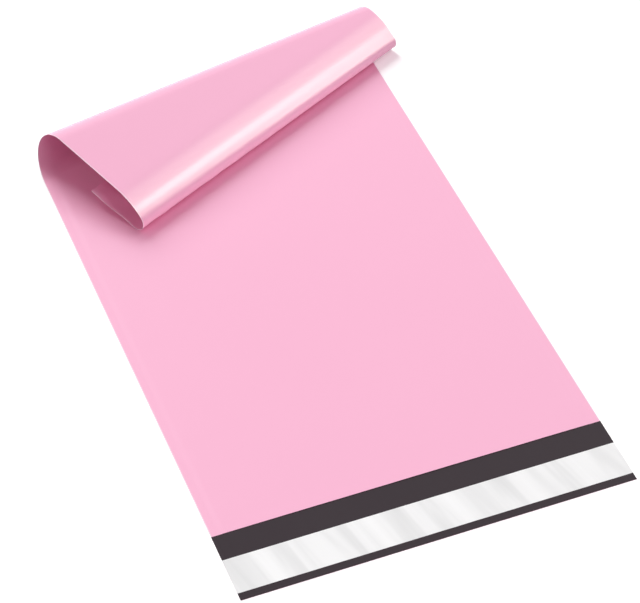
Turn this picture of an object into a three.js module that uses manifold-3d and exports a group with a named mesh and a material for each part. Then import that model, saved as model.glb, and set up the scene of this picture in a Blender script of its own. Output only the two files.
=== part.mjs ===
// A poly mailer bag lying on its back panel, with its closed end curled over into a loose, slanted roll.
// Sheet coordinates: x across the bag, s along it from the flap's edge, lift up from its underside.
import * as THREE from "three";
import { mergeVertices, toCreasedNormals } from "three/addons/utils/BufferGeometryUtils.js";
import Module from "manifold-3d";

// Bag, in millimetres
const bagWidth = 254;
const pouchLength = 528;
const flapLength = 50.8;
const filmThickness = 0.08;
const plyGap = 0.12;
const weldWidth = 6;
const weldSlope = 2;

// Closing strip on the flap
const linerWidth = 26.2;
const linerSetback = 5.5;
const linerThickness = 0.07;
const adhesiveWidth = 19;
const adhesiveThickness = 0.05;
const adhesiveSideGap = 3;

// The curl is four conical bends one after the other. Each starts on a straight line across the sheet,
// given by where it crosses the left and right edges. Its radius is smaller on the right, so the roll
// tapers and slants. The last bend starts past the closed end on the left, where the end lies straight.
const backBend = {
  startLeft: 382,
  startRight: 447,
  radiusLeft: 17.5,
  radiusRight: 12,
  turn: 190,
  steps: 38,
};
const topBend = {
  startLeft: 495.5,
  startRight: 488,
  radiusLeft: 46,
  radiusRight: 38.5,
  turn: 30,
  steps: 8,
};
const frontBend = {
  startLeft: 520.5,
  startRight: 514,
  radiusLeft: 7.2,
  radiusRight: 5.5,
  turn: 154,
  steps: 24,
};
const endBend = {
  startLeft: 605,
  startRight: 550,
  radiusLeft: 12,
  radiusRight: 7,
  turn: 190,
  steps: 20,
};

const halfWidth = bagWidth / 2;
const bagLength = flapLength + pouchLength;
const bagThickness = 2 * filmThickness + plyGap;
const cutMargin = 5;
const columnPitch = 13;
const columnCount = 9;
const up = new THREE.Vector3(0, 0, 1);
const creaseAngle = THREE.MathUtils.degToRad(30);

const filmPink = new THREE.MeshStandardMaterial({ color: 0xfabcd8, roughness: 0.32, metalness: 0 });
const filmCharcoal = new THREE.MeshStandardMaterial({ color: 0x443f42, roughness: 0.45, metalness: 0 });
const linerWhite = new THREE.MeshStandardMaterial({ color: 0xf4f4f6, roughness: 0.5, metalness: 0 });
const adhesiveClear = new THREE.MeshStandardMaterial({ color: 0xd8d2c4, roughness: 0.25, metalness: 0 });

const wasm = await Module();
wasm.setup();

// The cone that a bend follows: its tip is where the radius, shrinking from left to right, comes to nothing.
function coneOf(bend) {
  const left = new THREE.Vector3(-halfWidth, bend.startLeft, 0);
  const right = new THREE.Vector3(halfWidth, bend.startRight, 0);
  const tip = left.clone().lerp(right, bend.radiusLeft / (bend.radiusLeft - bend.radiusRight));
  const ruling = left.clone().sub(tip);
  const steepness = ruling.length() / bend.radiusLeft;
  const spin = Math.hypot(1, steepness);
  const axis = up.clone().addScaledVector(ruling.normalize(), steepness).divideScalar(-spin);
  const start = Math.atan2(left.y - tip.y, tip.x - left.x);
  const sweep = THREE.MathUtils.degToRad(bend.turn) / spin;
  return { tip, axis, spin, start, sweep, steps: bend.steps };
}

const cones = [backBend, topBend, frontBend, endBend].map(coneOf);

// Where a point of the flat sheet lies once the bag is curled. The last bend is made first, while the
// rest is still flat.
function curled(x, s, lift) {
  const point = new THREE.Vector3(x, s, lift);
  for (const { tip, axis, spin, start, sweep } of cones.toReversed()) {
    const angle = Math.atan2(s - tip.y, tip.x - x) - start;
    const bent = THREE.MathUtils.clamp(angle, 0, sweep);
    point.sub(tip);
    point.applyAxisAngle(up, bent);
    point.applyAxisAngle(axis, bent * spin);
    point.add(tip);
  }
  return point;
}

// Lines across the sheet from the first bend to the closed end, each as its s on the left and right
// edges: the straight lines of the first three cones, then even steps through the last one.
function curlLines(closedS) {
  const straightLines = cones.slice(0, -1).flatMap(({ tip, start, sweep, steps }) =>
    Array.from({ length: steps + 1 }, (_, i) => {
      const slope = Math.tan(start + (sweep * i) / steps);
      return [tip.y + (tip.x + halfWidth) * slope, tip.y + (tip.x - halfWidth) * slope];
    }),
  );
  const [lastLeft, lastRight] = straightLines.at(-1);
  const endLines = Array.from({ length: endBend.steps }, (_, i) => {
    const share = (i + 1) / endBend.steps;
    return [THREE.MathUtils.lerp(lastLeft, closedS, share), THREE.MathUtils.lerp(lastRight, closedS, share)];
  });
  return [...straightLines, ...endLines];
}

// A solid between two lifts of the sheet, given column by column as [x, bottom, top] from left to right,
// drawn out from line to line and curled. Both its faces are cut into the same triangles, so that its
// thickness holds in the curl.
function sheetSolid(columns, lines) {
  const corners = lines.flatMap(([sLeft, sRight]) =>
    columns.flatMap(([x, bottom, top]) => {
      const s = THREE.MathUtils.mapLinear(x, -halfWidth, halfWidth, sLeft, sRight);
      return [curled(x, s, bottom), curled(x, s, top)];
    }),
  );
  const corner = (row, column, side) => 2 * (row * columns.length + column) + side;
  const faces = [];
  const addQuad = (a, b, c, d) => faces.push([a, b, c], [a, c, d]);
  const lastRow = lines.length - 1;
  const lastColumn = columns.length - 1;
  for (let near = 0; near < lastRow; near += 1) {
    const far = near + 1;
    for (let left = 0; left < lastColumn; left += 1) {
      const right = left + 1;
      addQuad(corner(near, left, 0), corner(far, left, 0), corner(far, right, 0), corner(near, right, 0));
      addQuad(corner(near, left, 1), corner(near, right, 1), corner(far, right, 1), corner(far, left, 1));
    }
    const last = lastColumn;
    addQuad(corner(near, 0, 0), corner(near, 0, 1), corner(far, 0, 1), corner(far, 0, 0));
    addQuad(corner(near, last, 0), corner(far, last, 0), corner(far, last, 1), corner(near, last, 1));
  }
  for (let left = 0; left < lastColumn; left += 1) {
    const right = left + 1;
    const last = lastRow;
    addQuad(corner(0, left, 0), corner(0, right, 0), corner(0, right, 1), corner(0, left, 1));
    addQuad(corner(last, left, 0), corner(last, left, 1), corner(last, right, 1), corner(last, right, 0));
  }
  const geometry = new THREE.BufferGeometry().setFromPoints(corners).setIndex(faces.flat());
  const closed = mergeVertices(geometry);
  const vertProperties = closed.attributes.position.array;
  const merged = Array.from(closed.index.array);
  const triangles = faces.map((_, i) => merged.slice(3 * i, 3 * i + 3));
  const triVerts = Uint32Array.from(triangles.filter((triangle) => new Set(triangle).size === 3).flat());
  return new wasm.Manifold(new wasm.Mesh({ numProp: 3, vertProperties, triVerts }));
}

// The film is both plies in one, less the space between them and the front ply over the flap.
function makeFilmPouch() {
  const weldX = halfWidth - weldWidth;
  const faceX = weldX - weldSlope;
  const cutX = halfWidth + cutMargin;
  const weldTop = 2 * filmThickness;
  const insideTop = filmThickness + plyGap;
  const foldInside = bagLength - filmThickness;
  const endColumns = Array.from({ length: columnCount }, (_, i) => i * columnPitch);
  const wholeColumns = [
    [-halfWidth, 0, weldTop],
    [-weldX, 0, weldTop],
    [-faceX, 0, bagThickness],
    ...endColumns.map((x) => [x, 0, bagThickness]),
    [faceX, 0, bagThickness],
    [weldX, 0, weldTop],
    [halfWidth, 0, weldTop],
  ];
  const insideColumns = [
    [-weldX, filmThickness, filmThickness],
    [-faceX, filmThickness, insideTop],
    ...endColumns.map((x) => [x, filmThickness, insideTop]),
    [faceX, filmThickness, insideTop],
    [weldX, filmThickness, filmThickness],
  ];
  const overFlapColumns = [-cutX, cutX].map((x) => [x, filmThickness, bagThickness + cutMargin]);

  const straight = (s) => [s, s];
  const whole = sheetSolid(wholeColumns, [straight(0), ...curlLines(bagLength)]);
  const inside = sheetSolid(insideColumns, [straight(flapLength - cutMargin), ...curlLines(foldInside)]);
  const overFlap = sheetSolid(overFlapColumns, [straight(-cutMargin), straight(flapLength)]);
  const film = whole.subtract(overFlap).subtract(inside);

  const data = film.getMesh();
  const geometry = new THREE.BufferGeometry();
  geometry.setAttribute("position", new THREE.BufferAttribute(data.vertProperties, 3));
  geometry.setIndex(new THREE.BufferAttribute(data.triVerts, 1));
  data.runOriginalID.forEach((id, i) => {
    const faceCount = data.runIndex[i + 1] - data.runIndex[i];
    geometry.addGroup(data.runIndex[i], faceCount, id === whole.originalID() ? 0 : 1);
  });
  const mesh = new THREE.Mesh(toCreasedNormals(geometry, creaseAngle), [filmPink, filmCharcoal]);
  mesh.name = "film_pouch";
  return mesh;
}

// A flat strip across the flap, centred on the closing strip's middle line.
function makeFlapStrip(name, width, length, bottomLift, thickness, material) {
  const mesh = new THREE.Mesh(new THREE.BoxGeometry(width, length, thickness), material);
  mesh.position.set(0, linerSetback + linerWidth / 2, bottomLift + thickness / 2);
  mesh.name = name;
  return mesh;
}

const adhesiveLength = bagWidth - 2 * adhesiveSideGap;
const linerLift = filmThickness + adhesiveThickness;
const bag = new THREE.Group();
bag.add(makeFilmPouch());
bag.add(
  makeFlapStrip(
    "adhesive_strip",
    adhesiveLength,
    adhesiveWidth,
    filmThickness,
    adhesiveThickness,
    adhesiveClear,
  ),
);
bag.add(
  makeFlapStrip(
    "release_liner",
    bagWidth,
    linerWidth,
    linerLift,
    linerThickness,
    linerWhite,
  ),
);

// The origin is the middle of the bag's outline, on the surface that it lies on.
const outline = new THREE.Box3().setFromObject(bag);
const middle = outline.getCenter(new THREE.Vector3());
bag.position.set(-middle.x, -middle.y, -outline.min.z);

const polyMailer = new THREE.Group();
polyMailer.add(bag);

export default polyMailer;
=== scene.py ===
# Poly mailer bag: one web of film, folded, side-welded and curled over at its closed end
import bpy
import math
from mathutils import Matrix, Vector, noise


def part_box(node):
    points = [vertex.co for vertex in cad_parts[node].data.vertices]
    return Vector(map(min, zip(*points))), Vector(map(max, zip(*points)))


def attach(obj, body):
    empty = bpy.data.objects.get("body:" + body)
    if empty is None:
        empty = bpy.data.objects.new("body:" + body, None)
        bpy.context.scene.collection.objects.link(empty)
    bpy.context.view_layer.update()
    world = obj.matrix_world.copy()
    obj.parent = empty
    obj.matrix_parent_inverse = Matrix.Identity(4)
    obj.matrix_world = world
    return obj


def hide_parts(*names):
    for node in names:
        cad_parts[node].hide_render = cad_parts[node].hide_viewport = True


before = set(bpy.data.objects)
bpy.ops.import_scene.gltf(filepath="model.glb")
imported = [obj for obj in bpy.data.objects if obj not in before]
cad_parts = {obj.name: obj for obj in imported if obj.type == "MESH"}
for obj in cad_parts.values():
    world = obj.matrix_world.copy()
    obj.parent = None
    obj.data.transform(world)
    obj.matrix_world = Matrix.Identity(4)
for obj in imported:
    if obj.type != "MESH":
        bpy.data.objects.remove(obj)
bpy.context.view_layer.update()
mm = 0.001
print("frame loaded")


# Small helpers for the mesh work

def deselectAll():
    if bpy.context.object and bpy.context.object.mode != "OBJECT":
        bpy.ops.object.mode_set(mode="OBJECT")
    bpy.ops.object.select_all(action="DESELECT")


def makeActive(piece):
    deselectAll()
    piece.select_set(True)
    bpy.context.view_layer.objects.active = piece


def applyModifier(piece, kind, **settings):
    makeActive(piece)
    modifier = piece.modifiers.new(kind.title(), kind)
    for name, value in settings.items():
        setattr(modifier, name, value)
    bpy.ops.object.modifier_apply(modifier=modifier.name)


def shadeSmooth(piece):
    makeActive(piece)
    bpy.ops.object.shade_smooth_by_angle(angle=math.radians(40))


def addGrid(name, columns, rows):
    deselectAll()
    bpy.ops.mesh.primitive_grid_add(x_subdivisions=columns, y_subdivisions=rows, size=1)
    piece = bpy.context.object
    piece.name = name
    return piece


def blendBetween(low, high, share):
    return low + (high - low) * share


def smoothStep(low, high, value):
    share = min(max((value - low) / (high - low), 0.0), 1.0)
    return share * share * (3 - 2 * share)


# Shader wires: sums and products of sockets become Math nodes

class Wire:
    def __init__(self, tree, socket):
        self.tree = tree
        self.socket = socket

    def maths(self, operation, first, second):
        return self.node("ShaderNodeMath", {"operation": operation}, {0: first, 1: second})

    def __add__(self, other):
        return self.maths("ADD", self, other)

    def __radd__(self, other):
        return self.maths("ADD", other, self)

    def __mul__(self, other):
        return self.maths("MULTIPLY", self, other)

    def __rmul__(self, other):
        return self.maths("MULTIPLY", other, self)

    # any other node: its type, its settings, then the values or wires of its inputs
    def node(self, kind, settings, inputs, output=0):
        made = self.tree.nodes.new(kind)
        for name, value in settings.items():
            if name == "stops":
                ramp = made.color_ramp.elements
                while len(ramp) < len(value):
                    ramp.new(0.5)
                for stop, (place, colour) in zip(ramp, value):
                    stop.position = place
                    stop.color = colour
            else:
                setattr(made, name, value)
        for name, value in inputs.items():
            if isinstance(value, Wire):
                self.tree.links.new(value.socket, made.inputs[name])
            else:
                made.inputs[name].default_value = value
        return Wire(self.tree, made.outputs[output])


class Finish:
    def __init__(self, name):
        self.material = bpy.data.materials.new(name)
        self.material.use_nodes = True
        self.tree = self.material.node_tree
        self.shader = self.tree.nodes["Principled BSDF"]

    def coordinates(self, output):
        made = self.tree.nodes.new("ShaderNodeTexCoord")
        return Wire(self.tree, made.outputs[output])

    def fixed(self, **values):
        for name, value in values.items():
            self.shader.inputs[name.replace("_", " ")].default_value = value

    def feed(self, name, wire):
        self.tree.links.new(wire.socket, self.shader.inputs[name])


# The curl, as the model's solids have it: four conical bends across the sheet

bag = {
    "width": 254 * mm,
    "flapLength": 50.8 * mm,
    "pouchLength": 528 * mm,
    "filmThickness": 0.08 * mm,
    "plyGap": 0.12 * mm,
    "weldWidth": 6 * mm,
    "weldSlope": 2 * mm,
}
# starts at the side edges and radii in mm, turns in degrees, rows of faces round each bend
bends = [
    {"startLeft": 382, "startRight": 447, "radiusLeft": 17.5, "radiusRight": 12, "turn": 190, "rows": 64},
    {"startLeft": 495.5, "startRight": 488, "radiusLeft": 46, "radiusRight": 38.5, "turn": 30, "rows": 16},
    {"startLeft": 520.5, "startRight": 514, "radiusLeft": 7.2, "radiusRight": 5.5, "turn": 154, "rows": 42},
    {"startLeft": 605, "startRight": 550, "radiusLeft": 12, "radiusRight": 7, "turn": 190, "rows": 32},
]
halfWidth = bag["width"] / 2
bagLength = bag["flapLength"] + bag["pouchLength"]
up = Vector((0, 0, 1))
linerLow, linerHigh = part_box("release_liner")
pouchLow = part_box("film_pouch")[0]
sheetOrigin = Vector(((linerLow[0] + linerHigh[0]) / 2, pouchLow[1], 0))


def coneOf(bend):
    left = Vector((-halfWidth, bend["startLeft"] * mm, 0))
    right = Vector((halfWidth, bend["startRight"] * mm, 0))
    tip = left.lerp(right, bend["radiusLeft"] / (bend["radiusLeft"] - bend["radiusRight"]))
    ruling = left - tip
    steepness = ruling.length / (bend["radiusLeft"] * mm)
    spin = math.hypot(1, steepness)
    return {
        "tip": tip,
        "axis": (up + ruling.normalized() * steepness) / -spin,
        "spin": spin,
        "start": math.atan2(left.y - tip.y, tip.x - left.x),
        "sweep": math.radians(bend["turn"]) / spin,
        "rows": bend["rows"],
    }


cones = [coneOf(bend) for bend in bends]


def curled(x, s, lift):
    point = Vector((x, s, lift))
    for cone in reversed(cones):
        tip = cone["tip"]
        angle = math.atan2(s - tip.y, tip.x - x) - cone["start"]
        bent = min(max(angle, 0), cone["sweep"])
        if bent > 0:
            turn = Matrix.Rotation(bent * cone["spin"], 3, cone["axis"]) @ Matrix.Rotation(bent, 3, up)
            point = turn @ (point - tip) + tip
    return point + sheetOrigin


def rulingLine(cone, share):
    slope = math.tan(cone["start"] + cone["sweep"] * share)
    tip = cone["tip"]
    return (tip.y + (tip.x + halfWidth) * slope, tip.y + (tip.x - halfWidth) * slope)


def linesBetween(first, last, count):
    return [
        (blendBetween(first[0], last[0], i / count), blendBetween(first[1], last[1], i / count))
        for i in range(1, count)
    ]


# lines across one ply, from the mouth to the closed end, each as its s at the left and right edges;
# the last bend takes in only a part of the closed end, so its lines aren't rulings
def pouchLines(flatRows, gapRows):
    lines = [(bag["flapLength"], bag["flapLength"])]
    for count, cone in zip((flatRows, gapRows, gapRows), cones):
        lines += linesBetween(lines[-1], rulingLine(cone, 0), count)
        lines += [rulingLine(cone, i / cone["rows"]) for i in range(cone["rows"] + 1)]
    closedEnd = (bagLength, bagLength)
    return lines + linesBetween(lines[-1], closedEnd, bends[-1]["rows"]) + [closedEnd]


# Finishes

def speckle(place, scale, detail):
    return place.node("ShaderNodeTexNoise", {}, {"Vector": place, "Scale": scale, "Detail": detail})


def blendTints(share, tints):
    first, second = tints
    return share.node("ShaderNodeMix", {"data_type": "RGBA"}, {"Factor": share, "A": first, "B": second}, 2)


def bumpy(height, strength, distance):
    return height.node("ShaderNodeBump", {}, {"Height": height, "Strength": strength, "Distance": distance})


# fine streaks along the web, from the way that it was drawn
filmDraw = {
    "stretch": (1, 0.05, 1),
    "scale": 260,
    "detail": 3,
}
# a painted highlight: paler along the side edges, where light would catch the thin film edge; duller on the
# side welds
edgeHighlightAndWeld = {
    "edgeHighlightWidth": 0.5 * mm,
    "edgeHighlightFade": 0.25 * mm,
    "edgeHighlightTint": (0.98, 0.76, 0.86, 1),
    "weldFade": 0.5 * mm,
    "weldDulling": 0.01,
}
pinkLook = {
    "tints": ((0.965, 0.488, 0.672, 1), (0.975, 0.496, 0.68, 1)),
    "cloudScale": 9,
    "grainScale": 1900,
    "grainStrength": 0.03,
    "grainHeight": 0.04 * mm,
    "roughness": 0.225,
    "streakDulling": 0.015,
    "cloudDulling": 0.02,
    "refraction": 1.5,
}


def drawStreak(place):
    drawn = place.node("ShaderNodeMapping", {}, {"Vector": place, "Scale": filmDraw["stretch"]})
    return speckle(drawn, filmDraw["scale"], filmDraw["detail"])


def nearSides(place, width, fade):
    across = place.node("ShaderNodeSeparateXYZ", {}, {"Vector": place})
    side = across.maths("ABSOLUTE", across, 0)
    inner = halfWidth - width
    return side.node(
        "ShaderNodeMapRange", {},
        {"Value": side, "From Min": inner - fade / 2, "From Max": inner + fade / 2},
    )


def pinkFilm():
    look = pinkLook
    finish = Finish("pinkFilm")
    place = finish.coordinates("UV")
    cloud = speckle(place, look["cloudScale"], 2)
    streak = drawStreak(place)
    grain = speckle(place, look["grainScale"], 2)
    edgeHighlight = nearSides(place, edgeHighlightAndWeld["edgeHighlightWidth"], edgeHighlightAndWeld["edgeHighlightFade"])
    weld = nearSides(place, bag["weldWidth"], edgeHighlightAndWeld["weldFade"])
    dulling = streak * look["streakDulling"] + cloud * look["cloudDulling"] + weld * edgeHighlightAndWeld["weldDulling"]
    # the painted edge highlight lies over the film's own tints
    finish.feed("Base Color", blendTints(edgeHighlight, (blendTints(cloud, look["tints"]), edgeHighlightAndWeld["edgeHighlightTint"])))
    finish.feed("Roughness", look["roughness"] + dulling)
    finish.feed("Normal", bumpy(grain, look["grainStrength"], look["grainHeight"]))
    finish.fixed(IOR=look["refraction"])
    return finish.material


charcoalLook = {
    "tints": ((0.027, 0.018, 0.024, 1), (0.034, 0.024, 0.03, 1)),
    "cloudScale": 14,
    "streakStrength": 0.06,
    "streakHeight": 0.04 * mm,
    "roughness": 0.5,
    "streakDulling": 0.1,
    "gloss": 0.25,
}


def charcoalFilm():
    look = charcoalLook
    finish = Finish("charcoalFilm")
    place = finish.coordinates("UV")
    streak = drawStreak(place)
    finish.feed("Base Color", blendTints(speckle(place, look["cloudScale"], 3), look["tints"]))
    finish.feed("Roughness", look["roughness"] + streak * look["streakDulling"])
    finish.feed("Normal", bumpy(streak, look["streakStrength"], look["streakHeight"]))
    finish.fixed(Specular_IOR_Level=look["gloss"])
    return finish.material


# the cut edges are painted paler than the film: a painted highlight for light catching the thin edge
cutEdgeHighlightLook = {
    "tints": ((0.96, 0.66, 0.78, 1), (0.97, 0.76, 0.85, 1)),
    "cloudScale": 400,
    "roughness": 0.3,
    "cloudDulling": 0.2,
}


def cutEdge():
    look = cutEdgeHighlightLook
    finish = Finish("filmCutEdge")
    cloud = speckle(finish.coordinates("Object"), look["cloudScale"], 2)
    finish.feed("Base Color", blendTints(cloud, look["tints"]))
    finish.feed("Roughness", look["roughness"] + cloud * look["cloudDulling"])
    return finish.material


# slanted bands of painted reflection and shade, as a strip that lies slightly wavy would show them under
# light
linerLook = {
    "paintedBandTurn": math.radians(13),
    "paintedBandSize": (0.017, 0.2, 1),
    "paintedBandWander": 0.35,
    "paintedBandTones": [
        (0.34, (0.79, 0.795, 0.795, 1)),
        (0.45, (0.85, 0.855, 0.855, 1)),
        (0.53, (0.915, 0.92, 0.92, 1)),
        (0.66, (0.97, 0.975, 0.975, 1)),
    ],
    "roughness": 0.28,
    "paintedBandDulling": 0.12,
}


def linerWhite():
    look = linerLook
    finish = Finish("linerWhite")
    place = finish.coordinates("UV")
    slant = place.node(
        "ShaderNodeMapping", {"vector_type": "TEXTURE"},
        {"Vector": place, "Rotation": (0, 0, look["paintedBandTurn"]), "Scale": look["paintedBandSize"]},
    )
    paintedBand = place.node(
        "ShaderNodeTexNoise", {},
        {"Vector": slant, "Scale": 1, "Detail": 3, "Roughness": 0.5, "Distortion": look["paintedBandWander"]},
    )
    # painted reflection and shade: the bands darken the white in slanted streaks
    finish.feed("Base Color", paintedBand.node("ShaderNodeValToRGB", {"stops": look["paintedBandTones"]}, {"Fac": paintedBand}))
    finish.feed("Roughness", look["roughness"] + paintedBand * look["paintedBandDulling"])
    return finish.material


meltLook = {
    "tints": ((0.62, 0.57, 0.46, 1), (0.72, 0.68, 0.58, 1)),
    "lumpScale": 300,
    "lumpStrength": 0.2,
    "lumpHeight": 0.1 * mm,
    "roughness": 0.18,
    "lumpDulling": 0.2,
}


def hotMelt():
    look = meltLook
    finish = Finish("hotMeltAdhesive")
    lumps = speckle(finish.coordinates("Object"), look["lumpScale"], 3)
    finish.feed("Base Color", blendTints(lumps, look["tints"]))
    finish.feed("Roughness", look["roughness"] + lumps * look["lumpDulling"])
    finish.feed("Normal", bumpy(lumps, look["lumpStrength"], look["lumpHeight"]))
    return finish.material


# Film pouch

# edge steps are in mm from a side edge; the last number of each noise picks its pattern
film = {
    "flapRows": 10,
    "flatRows": 54,
    "gapRows": 6,
    "edgeSteps": (0, 1.2, 2.6, 4.2, 6, 8, 10, 13, 17, 22, 28, 35, 43),
    "innerColumns": 36,
    "curlFrom": 350 * mm,
    "curlTo": 400 * mm,
    "paneWave": 0.16 * mm,
    "rollWave": 0.05 * mm,
    "waveNoise": (16, 11, 3.7),
    "pucker": 0.14 * mm,
    "puckerPitch": 21 * mm,
    "puckerDepth": 26 * mm,
    "puckerWander": 2.5,
    "wanderNoise": (30, 9.1),
    "weldTouch": 0.012 * mm,
    "crease": 0.9 * mm,
    "creaseReach": 66 * mm,
    "creaseFade": (-30 * mm, 30 * mm),
    "creaseSlant": 0.6,
    "creaseNoise": (70, 0.7, 0.08),
    "creaseRidge": 0.4,
    "creaseValley": 1.6,
}


def filmColumns():
    edge = [step * mm - halfWidth for step in film["edgeSteps"]]
    inner = film["innerColumns"]
    middle = [blendBetween(edge[-1], -edge[-1], i / inner) for i in range(1, inner)]
    return edge + middle + [-x for x in reversed(edge)]


# how far the front ply stands off the back one: closed at the welds, slightly full between them
def plySpace(x, s):
    side = halfWidth - abs(x)
    weld, slope = bag["weldWidth"], bag["weldSlope"]
    parted = smoothStep(weld, weld + slope, side)
    reach = smoothStep(weld, weld + film["puckerDepth"], side)
    curlShare = smoothStep(film["curlFrom"], film["curlTo"], s)
    acrossScale, alongScale, pattern = film["waveNoise"]
    wave = blendBetween(film["paneWave"], film["rollWave"], curlShare)
    swell = wave * (1 + noise.noise(Vector((x * acrossScale, s * alongScale, pattern))))
    alongScale, pattern = film["wanderNoise"]
    wander = film["puckerWander"] * noise.noise(Vector((s * alongScale, x, pattern)))
    ripple = math.sin(2 * math.pi * s / film["puckerPitch"] + wander)
    pucker = film["pucker"] * (1 + ripple) * (1 - reach) * (1 - curlShare)
    space = (bag["plyGap"] + swell * reach + pucker) * parted
    return max(space, film["weldTouch"])


# small creases that both plies share near the closed end, fading out to the right where it curls once more
def endCrease(x, s):
    reach = film["creaseReach"]
    share = smoothStep(bagLength - reach, bagLength - reach / 2, s)
    share *= 1 - smoothStep(*film["creaseFade"], x)
    scale, stretch, pattern = film["creaseNoise"]
    fold = noise.noise(Vector((x + s * film["creaseSlant"], s * stretch, pattern)) * scale)
    return film["crease"] * share * (film["creaseRidge"] - film["creaseValley"] * abs(fold))


def makeFilmPouch():
    columns = filmColumns()
    pouch = pouchLines(film["flatRows"], film["gapRows"])
    flap = [(0.0, 0.0)] + linesBetween((0.0, 0.0), pouch[0], film["flapRows"])
    web = [("back", line) for line in flap + pouch] + [("front", line) for line in reversed(pouch)]
    piece = addGrid("film_pouch_skin", len(columns) - 1, len(web) - 1)
    thick = bag["filmThickness"]
    for material in (charcoalFilm(), pinkFilm(), cutEdge()):
        piece.data.materials.append(material)
    webPlace = []
    for index, vertex in enumerate(piece.data.vertices):
        row, column = divmod(index, len(columns))
        ply, (sLeft, sRight) = web[row]
        x = columns[column]
        s = blendBetween(sLeft, sRight, (x + halfWidth) / bag["width"])
        lift = thick / 2 + endCrease(x, s)
        if ply == "front":
            lift += thick + plySpace(x, s)
        vertex.co = curled(x, s, lift)
        webPlace.append((x, s if ply == "back" else 2 * bagLength - s))
    for loop, uv in zip(piece.data.loops, piece.data.uv_layers.active.data):
        uv.uv = webPlace[loop.vertex_index]
    applyModifier(
        piece, "SOLIDIFY", thickness=thick, offset=0, use_even_offset=False,
        material_offset=1, material_offset_rim=2,
    )
    shadeSmooth(piece)
    return piece


filmPouch = makeFilmPouch()
print("film pouch:", len(filmPouch.data.polygons), "faces")


# Release liner

liner = {
    "columns": 150,
    "rows": 8,
    "depth": 26.2 * mm,
    "thickness": 0.07 * mm,
    "ripple": 0.16 * mm,
    "ripplePitch": 38 * mm,
    "rippleSlant": 0.6,
    "rippleNoise": (2.2, 12, 1.3),
}


def makeReleaseLiner():
    piece = addGrid("release_liner_strip", liner["columns"], liner["rows"])
    width = linerHigh[0] - linerLow[0]
    depth = linerHigh[1] - linerLow[1]
    centre = Vector(((linerLow[0] + linerHigh[0]) / 2, (linerLow[1] + linerHigh[1]) / 2, linerLow[2]))
    slantScale, alongScale, pattern = liner["rippleNoise"]
    for vertex in piece.data.vertices:
        x, y = vertex.co.x * width, vertex.co.y * depth
        slant = (x + liner["rippleSlant"] * y) / liner["ripplePitch"]
        wave = noise.noise(Vector((slant * slantScale, y * alongScale, pattern)))
        lift = liner["ripple"] * max(wave, 0) + liner["thickness"] / 2
        vertex.co = centre + Vector((x, y, lift))
    for loop, uv in zip(piece.data.loops, piece.data.uv_layers.active.data):
        place = piece.data.vertices[loop.vertex_index].co
        uv.uv = (place.x - linerLow[0], place.y - linerLow[1])
    piece.data.materials.append(linerWhite())
    applyModifier(piece, "SOLIDIFY", thickness=liner["thickness"], offset=0)
    shadeSmooth(piece)
    return piece


releaseLiner = makeReleaseLiner()
print("release liner:", len(releaseLiner.data.polygons), "faces")


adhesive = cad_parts["adhesive_strip"]
adhesive.data.materials.clear()
adhesive.data.materials.append(hotMelt())
print("finishes on")


# What stands for what

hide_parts("film_pouch")
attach(filmPouch, "root")
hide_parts("release_liner")
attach(releaseLiner, "root")


# Stage: white floor and surround, soft light, camera

white = (1, 1, 1, 1)
studio = {
    "floorSize": 8,
    "floorDrop": 0.1 * mm,
    "floorRoughness": 0.9,
    "floorGlow": 0.22,
    "fill": 0.34,
    "fillTint": (1, 0.52, 0.7, 1),
    "lampTint": (1.02, 1.25, 1.165),
    "glintTint": (1, 0.98, 0.82),
    "aim": (0.01, 0.06, 0.01),
    "distance": 10,
}
# every azimuth, in degrees, is turned from +Y towards +X
lamps = [
    {"name": "backSoftbox", "azimuth": -8, "elevation": 41, "size": (5, 7), "power": 800},
    {"name": "sideSoftbox", "azimuth": 84, "elevation": 52, "size": (4.4, 4), "power": 120},
    {"name": "frontSoftbox", "azimuth": 150, "elevation": 7, "size": (4, 2), "power": 300},
    {"name": "mouthSoftbox", "azimuth": -88, "elevation": 18, "size": (4, 3), "power": 185},
]
# lamps that show only as gloss on the film
glints = [
    {"name": "shoulderGlint", "azimuth": 84, "elevation": 52, "size": (4.4, 4), "power": 360},
    {"name": "rollGlint", "azimuth": 104, "elevation": 43, "size": (1.3, 3.4), "power": 315},
    {"name": "lowGlint", "azimuth": 113, "elevation": 25, "size": (1.8, 3), "power": 80},
]
camera = {
    "azimuth": 201.41,
    "elevation": 45.07,
    "target": (4.5 * mm, 210.2 * mm, 0),
    "distance": 1671 * mm,
    "focalPixels": 2600,
    "imageWidth": 640,
    "sensorWidth": 36,
}


def outward(azimuth, elevation):
    turned, raised = math.radians(azimuth), math.radians(elevation)
    level = math.cos(raised)
    return Vector((math.sin(turned) * level, math.cos(turned) * level, math.sin(raised)))


def lookBack(piece, direction):
    piece.rotation_euler = (-direction).to_track_quat("-Z", "Y").to_euler()


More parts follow.
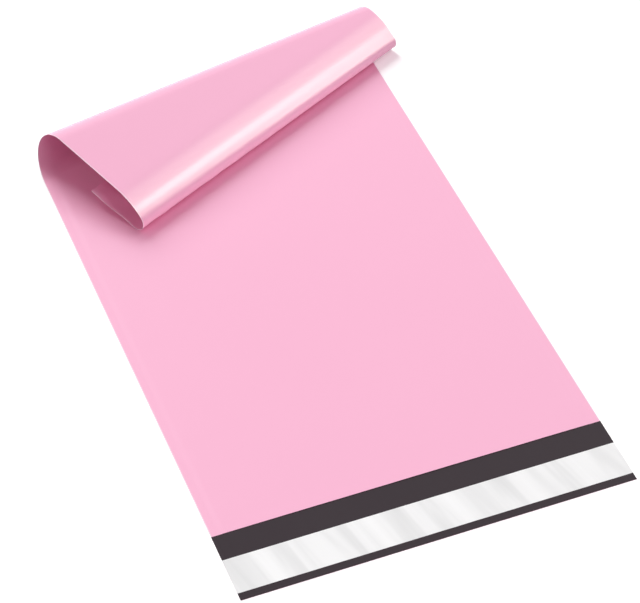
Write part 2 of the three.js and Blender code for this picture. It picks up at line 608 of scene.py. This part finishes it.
def addFloor():
    deselectAll()
    bpy.ops.mesh.primitive_plane_add(size=studio["floorSize"], location=(0, 0, -studio["floorDrop"]))
    floor = bpy.context.object
    floor.name = "floor"
    finish = Finish("floorWhite")
    finish.fixed(Base_Color=white, Roughness=studio["floorRoughness"])
    finish.fixed(Emission_Color=white, Emission_Strength=studio["floorGlow"])
    floor.data.materials.append(finish.material)
    floor.visible_diffuse = False  # its white would bleach the back of the roll


# white where the camera or a reflection sees it, a tinted fill where it lights the film
def addSurround():
    world = bpy.data.worlds.new("surround")
    bpy.context.scene.world = world
    world.use_nodes = True
    tree = world.node_tree
    background = tree.nodes["Background"]
    path = tree.nodes.new("ShaderNodeLightPath")
    direct, glossy, through = (
        Wire(tree, path.outputs[name]) for name in ("Is Camera Ray", "Is Glossy Ray", "Is Transmission Ray")
    )
    seen = direct.maths("MAXIMUM", direct.maths("MAXIMUM", direct, glossy), through)
    strength = studio["fill"] + seen * (1 - studio["fill"])
    tint = blendTints(seen, (studio["fillTint"], white))
    tree.links.new(strength.socket, background.inputs["Strength"])
    tree.links.new(tint.socket, background.inputs["Color"])


def addLamp(lamp, tint, glossOnly):
    direction = outward(lamp["azimuth"], lamp["elevation"])
    deselectAll()
    bpy.ops.object.light_add(type="AREA", location=Vector(studio["aim"]) + direction * studio["distance"])
    light = bpy.context.object
    light.name = lamp["name"]
    lookBack(light, direction)
    light.data.shape = "RECTANGLE"
    light.data.size, light.data.size_y = lamp["size"]
    light.data.energy = lamp["power"]
    light.data.color = tint
    light.visible_diffuse = not glossOnly
    light.visible_glossy = glossOnly


def addCamera():
    direction = outward(camera["azimuth"], camera["elevation"])
    target = Vector(camera["target"]) + sheetOrigin
    deselectAll()
    bpy.ops.object.camera_add(location=target + direction * camera["distance"])
    made = bpy.context.object
    lookBack(made, direction)
    made.data.sensor_width = camera["sensorWidth"]
    made.data.lens = camera["focalPixels"] / camera["imageWidth"] * camera["sensorWidth"]
    bpy.context.scene.camera = made


addFloor()
addSurround()
for lamp in lamps:
    addLamp(lamp, studio["lampTint"], False)
for lamp in glints:
    addLamp(lamp, studio["glintTint"], True)
addCamera()
bpy.context.scene.view_settings.view_transform = "Standard"
print("stage set")
